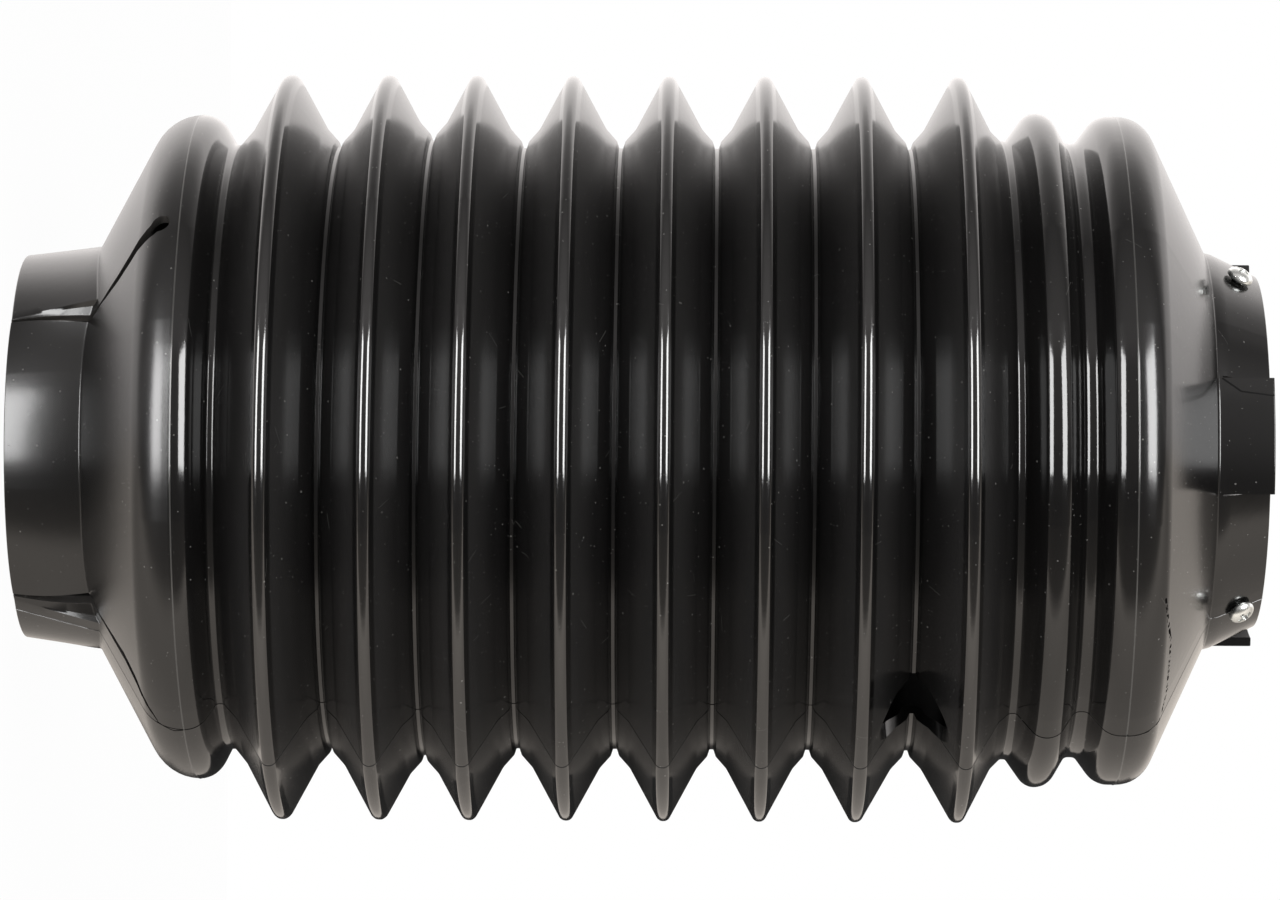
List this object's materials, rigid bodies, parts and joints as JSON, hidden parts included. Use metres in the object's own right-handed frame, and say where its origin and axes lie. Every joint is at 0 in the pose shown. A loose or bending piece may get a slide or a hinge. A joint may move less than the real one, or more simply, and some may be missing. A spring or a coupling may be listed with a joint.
{
  "type": "rubber bellows boot",
  "caption": "Black moulded rubber bellows boot with sharp round folds, a slit collar at its foot and a tabbed collar with cross-recess screws at its head.",
  "frame": {"origin": "middle of the foot collar's rim, on the surface that the boot stands on", "axes": "+Z along the bellows' axis from the slit foot collar to the tabbed head collar; the moulding seam is at 325.5 degrees about +Z, counted from +X"},
  "size_m": [0.208, 0.208, 0.3432],
  "materials": {
    "moulding": "glossy as moulded",
    "screw_steel": "bright zinc plated"
  },
  "bodies": {
    "root": {"bellows": "moulding", "screw_1": "screw_steel", "screw_2": "screw_steel", "screw_3": "screw_steel"}
  },
  "joints": []
}
